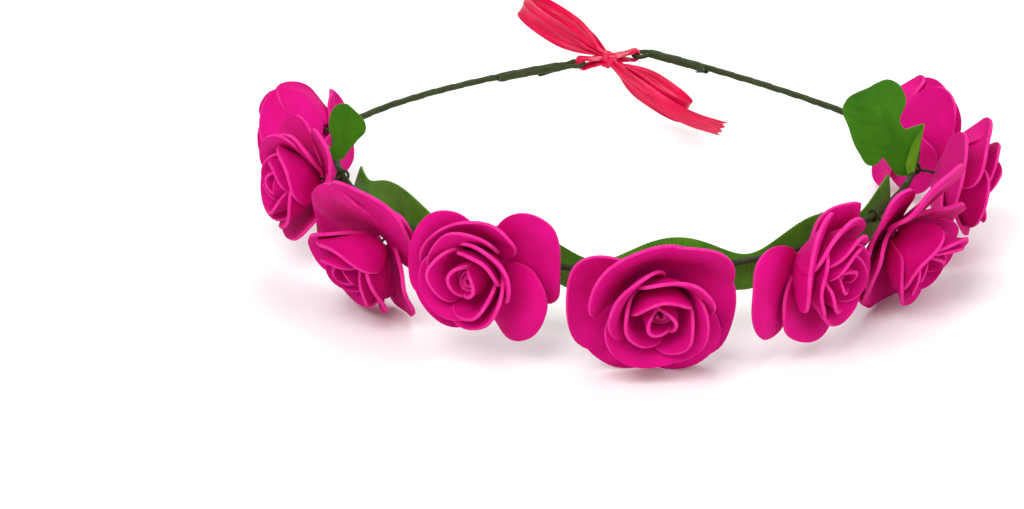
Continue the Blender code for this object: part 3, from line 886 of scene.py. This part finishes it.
def outlinePrism(outline, low, high, sharp):
    bpy.ops.curve.primitive_bezier_circle_add()
    cutter = bpy.context.object
    curve = cutter.data
    curve.splines.clear()
    curve.dimensions = "2D"
    curve.fill_mode = "BOTH"
    curve.resolution_u = 5
    spline = curve.splines.new("BEZIER")
    spline.use_cyclic_u = True
    spline.bezier_points.add(len(outline) - 1)
    for index, (point, (u, v)) in enumerate(zip(spline.bezier_points, outline)):
        point.co = (u * mm, v * mm, 0)
        pointed = index in sharp
        point.handle_left_type = point.handle_right_type = "VECTOR" if pointed else "AUTO"
    curve.extrude = (high - low) / 2
    pick(cutter)
    bpy.ops.object.convert(target="MESH")
    cutter = bpy.context.object
    cutter.location = (0, 0, (low + high) / 2)
    bpy.ops.object.transform_apply(location=True, rotation=True, scale=True)
    bpy.ops.object.mode_set(mode="EDIT")
    bpy.ops.mesh.select_all(action="SELECT")
    bpy.ops.mesh.remove_doubles(threshold=1e-6)
    bpy.ops.object.mode_set(mode="OBJECT")
    return cutter


def makeBlade(outline, thickness, material, sharp):
    # a finely divided slab, cut to the outline
    width = [u for u, v in outline]
    height = [v for u, v in outline]
    middle = Vector(((min(width) + max(width)) / 2, (min(height) + max(height)) / 2)) * mm
    reach = max(max(width) - min(width), max(height) - min(height)) / 2 * mm + 1 * mm

    def placeAt(share, high):
        return Vector((middle.x + (share * 2 - 1) * reach, middle.y + high * reach, 0))

    slab = gridSheet("blade", 44, 44, 2 * reach, 2 * reach, placeAt, material)
    addModifier(slab, "SOLIDIFY", thickness=thickness, offset=0)
    applyModifiers(slab)
    cutter = outlinePrism(outline, -2 * mm, 2 * mm, sharp)
    addModifier(slab, "BOOLEAN", operation="INTERSECT", solver="EXACT", object=cutter)
    applyModifiers(slab)
    bpy.data.objects.remove(cutter)
    return slab


def bendLeaf(blade, spec, bump):
    (u0, v0), (u1, v1) = spec["crease"]
    foot, way = Vector((u0, v0)) * mm, Vector((u1 - u0, v1 - v0)).normalized()
    for vertex in blade.data.vertices:
        here = Vector((vertex.co.x, vertex.co.y)) - foot
        along, off = here.dot(way), here.x * way.y - here.y * way.x
        crease = -0.5 * mm * math.exp(-abs(off) / (0.9 * mm)) * ease(along / (5 * mm))
        veins = 0.05 * mm * math.sin((along - abs(off) * 0.8) / (0.55 * mm)) * ease(abs(off) / (3 * mm))
        cup = 0.011 / mm * off * off * ease(along / (6 * mm)) - 0.006 / mm * along * along * 0.5
        vertex.co.z += bump + crease + veins + min(cup, 1.6 * mm)


def makeLeaves():
    for side, spec in leaves.items():
        blade = makeBlade(spec["outline"], leafThickness, finish["leafCloth"], spec["sharp"])
        bendLeaf(blade, spec, 0)
        pieces = [blade]
        if spec["turnedEdge"]:
            edge = makeBlade(spec["turnedEdge"], leafThickness, finish["leafBack"], range(5))
            bendLeaf(edge, spec, 0.6 * mm)
            pieces.append(edge)
        leaf = joined(pieces, f"cloth_leaf_{side}")
        foot = Matrix.Translation(wirePoint(wireDistance(spec["place"])))
        leaf.data.transform(foot @ Matrix.Rotation(math.pi / 2, 4, "X"))
        finishPiece(leaf, "ring", "leaf_cloth", f"leaf_{side}")
    print("leaves:", len(leaves))


makeLeaves()


# bow: a crumpled tie through both eyes, a knot, two loops and two tails, all of one satin ribbon

bow = {
    "width": 6.5 * mm, "thickness": 0.3 * mm, "eyeReach": 1.45 * mm, "waist": 0.7 * mm,
    "knotLength": 4.8 * mm, "knotRadius": 2.15 * mm, "loopStart": 3.5 * mm, "loopHeight": 8 * mm,
}

loops = {
    "back": {"length": 27, "way": (-23.4, 14, 11), "wide": (0.42, -0.08, 0.9),
             "tail": ((1, -2.4), (6, -4.8), (12, -5.9), (18, -6.2))},
    "front": {"length": 24, "way": (21.6, -12, -11), "wide": (0.42, 0.06, 0.9),
              "tail": ((1, -2.4), (6, -4.8), (14, -5.9), (22, -5.4), (28, -2), (32, 2.5), (35, 6.5))},
}


def bowFrame():
    left, right = eyePath("left")[1], eyePath("right")[1]
    across = (right - left).normalized()
    turn = Matrix((across, upright.cross(across), upright)).transposed().to_4x4()
    return Matrix.Translation((left + right) / 2) @ turn, (right - left).length / 2


def makeTie(matrix, half):
    reach = bow["eyeReach"]
    top = []
    for side in (-1, 1):
        bends = (180, 150, 120, 90) if side == -1 else (90, 60, 30, 0)
        arc = [Vector((side * half + reach * math.cos(math.radians(b)), 0, reach * math.sin(math.radians(b))))
               for b in bends]
        top += arc if side == -1 else [Vector((half * 0.45, 0, bow["waist"]))] + arc
        top += [Vector((-half * 0.45, 0, bow["waist"]))] if side == -1 else []
    bottom = [Vector((point.x, 0, -point.z)) for point in reversed(top[1:-1])]
    line = [matrix @ point for point in smoothLine(top + bottom + top[:1], 8)]
    middle = matrix.translation

    def shapeAt(travelled, angle):
        index = min(range(0, len(line), 4), key=lambda i: abs(i * 0.6 * mm - travelled))
        fromKnot = ease((line[index] - middle).length / half)
        pleat = (1 + 0.2 * math.sin(3 * angle + travelled / (1.1 * mm))
                 + 0.12 * math.sin(7 * angle - travelled / mm))
        wide = (0.9 + 0.75 * fromKnot) * mm * pleat
        high = 0.55 * mm * (1 + 0.3 * math.sin(2 * angle + travelled / (1.7 * mm)))
        return wide * math.cos(angle), high * math.sin(angle)

    back = matrix.to_3x3() @ Vector((0, 1, 0))
    tie = tubeAlong("crumpled_tie", line, 18, shapeAt, finish["satin"], back)
    finishPiece(tie, "bow", "satin", "ribbon_tie")


def makeKnot(matrix):
    length, radius = bow["knotLength"], bow["knotRadius"]
    line = [matrix @ Vector((x * length / 60, 0, 0)) for x in range(-30, 31)]

    def shapeAt(travelled, angle):
        x = travelled / length * 2 - 1
        barrel = math.sqrt(max(0.0, 1 - abs(x) ** 3.2))
        fold = (0.16 * math.sin(2 * angle + x * 2.6) + 0.07 * math.sin(6 * angle - x * 5)
                + 0.04 * math.sin(11 * angle))
        out = radius * (0.34 + 0.66 * barrel) * (1 + fold)
        return out * 1.05 * math.cos(angle), out * math.sin(angle)

    knot = tubeAlong("tied_knot", line, 48, shapeAt, finish["satin"])
    finishPiece(knot, "bow", "satin", "bow_knot")


def loopFrame(spec, origin):
    way = Vector(spec["way"]).normalized()
    wide = Vector(spec["wide"])
    wide = (wide - way * wide.dot(way)).normalized()
    turn = Matrix((way, wide.cross(way), wide)).transposed().to_4x4()
    return Matrix.Translation(origin + way * bow["loopStart"]) @ turn


def stripAlong(name, line, matrix, widthAt, foldAt, pinked=False):
    # line: places in millimetres, along the loop and across it; the ribbon's width stands square to them
    places = [Vector((u, v, 0)) * mm for u, v in line]
    length = sum((b - a).length for a, b in zip(places, places[1:]))

    def placeAt(share, high):
        spot = share * (len(places) - 1)
        index = min(int(spot), len(places) - 2)
        place = places[index].lerp(places[index + 1], spot - index)
        way = (places[min(index + 2, len(places) - 1)] - places[max(index - 1, 0)]).normalized()
        if pinked:
            tooth = abs((high * 1.5) % 1 - 0.5) * 2
            place = place - way * 1.5 * mm * tooth * ease((share - 0.85) / 0.15)
        square = Vector((-way.y, way.x, 0))
        place = place + square * foldAt(share, high) * mm
        place.z = high * bow["width"] / 2 * widthAt(share)
        return matrix @ place

    strip = gridSheet(name, len(places) - 1, 24, length, bow["width"], placeAt, finish["satin"])
    addModifier(strip, "SOLIDIFY", thickness=bow["thickness"], offset=0)
    applyModifiers(strip)
    return strip


def makeLoop(side, spec, matrix):
    steps, neck = 72, 0.06
    line = []
    for i in range(steps + 1):
        turn = math.pi * (neck + (1 - 2 * neck) * i / steps)
        across = bow["loopHeight"] / mm / 2 * math.sin(2 * turn) * math.sqrt(math.sin(turn)) * 1.42
        line.append((spec["length"] * math.sin(turn) ** 2, across))

    line = [(-3.0, 0.3), (-1.5, 0.35)] + line + [(-1.5, -0.35), (-3.0, -0.3)]

    def widthAt(share):
        return 0.3 + 0.75 * ease(min(share, 1 - share) * 4.6)

    def foldAt(share, high):
        near = 1 - ease(min(share, 1 - share) * 3.2)
        gather = 0.42 * math.sin(high * 7 + 1) * near
        ridge = 0.35 * math.exp(-abs(high - 0.25) * 5) * (1 - near)
        return gather + ridge + 0.45 * (1 - near) * (high * high - 0.4)

    loop = stripAlong(f"satin_loop_{side}", line, matrix, widthAt, foldAt)
    finishPiece(loop, "bow", "satin", f"bow_loop_{side}")


def makeTail(side, spec, matrix):
    points = [Vector((-2.6, -0.5))] + [Vector(point) for point in spec["tail"]]
    line = [(place.x, place.y) for place in smoothLine(points, 12)]

    def widthAt(share):
        return 0.36 + 0.34 * ease(share * 2.2)

    def foldAt(share, high):
        return 0.35 * math.sin(high * 6) * (1 - ease(share * 2)) + 0.3 * high * high * ease(share * 3)

    tail = stripAlong(f"satin_tail_{side}", line, matrix, widthAt, foldAt, True)
    finishPiece(tail, "bow", "satin", f"bow_tail_{side}")


def makeBow():
    matrix, half = bowFrame()
    makeTie(matrix, half)
    makeKnot(matrix)
    for side, spec in loops.items():
        own = loopFrame(spec, matrix.translation)
        makeLoop(side, spec, own)
        makeTail(side, spec, own)
    print("bow: tie, knot, loops and tails")


makeBow()
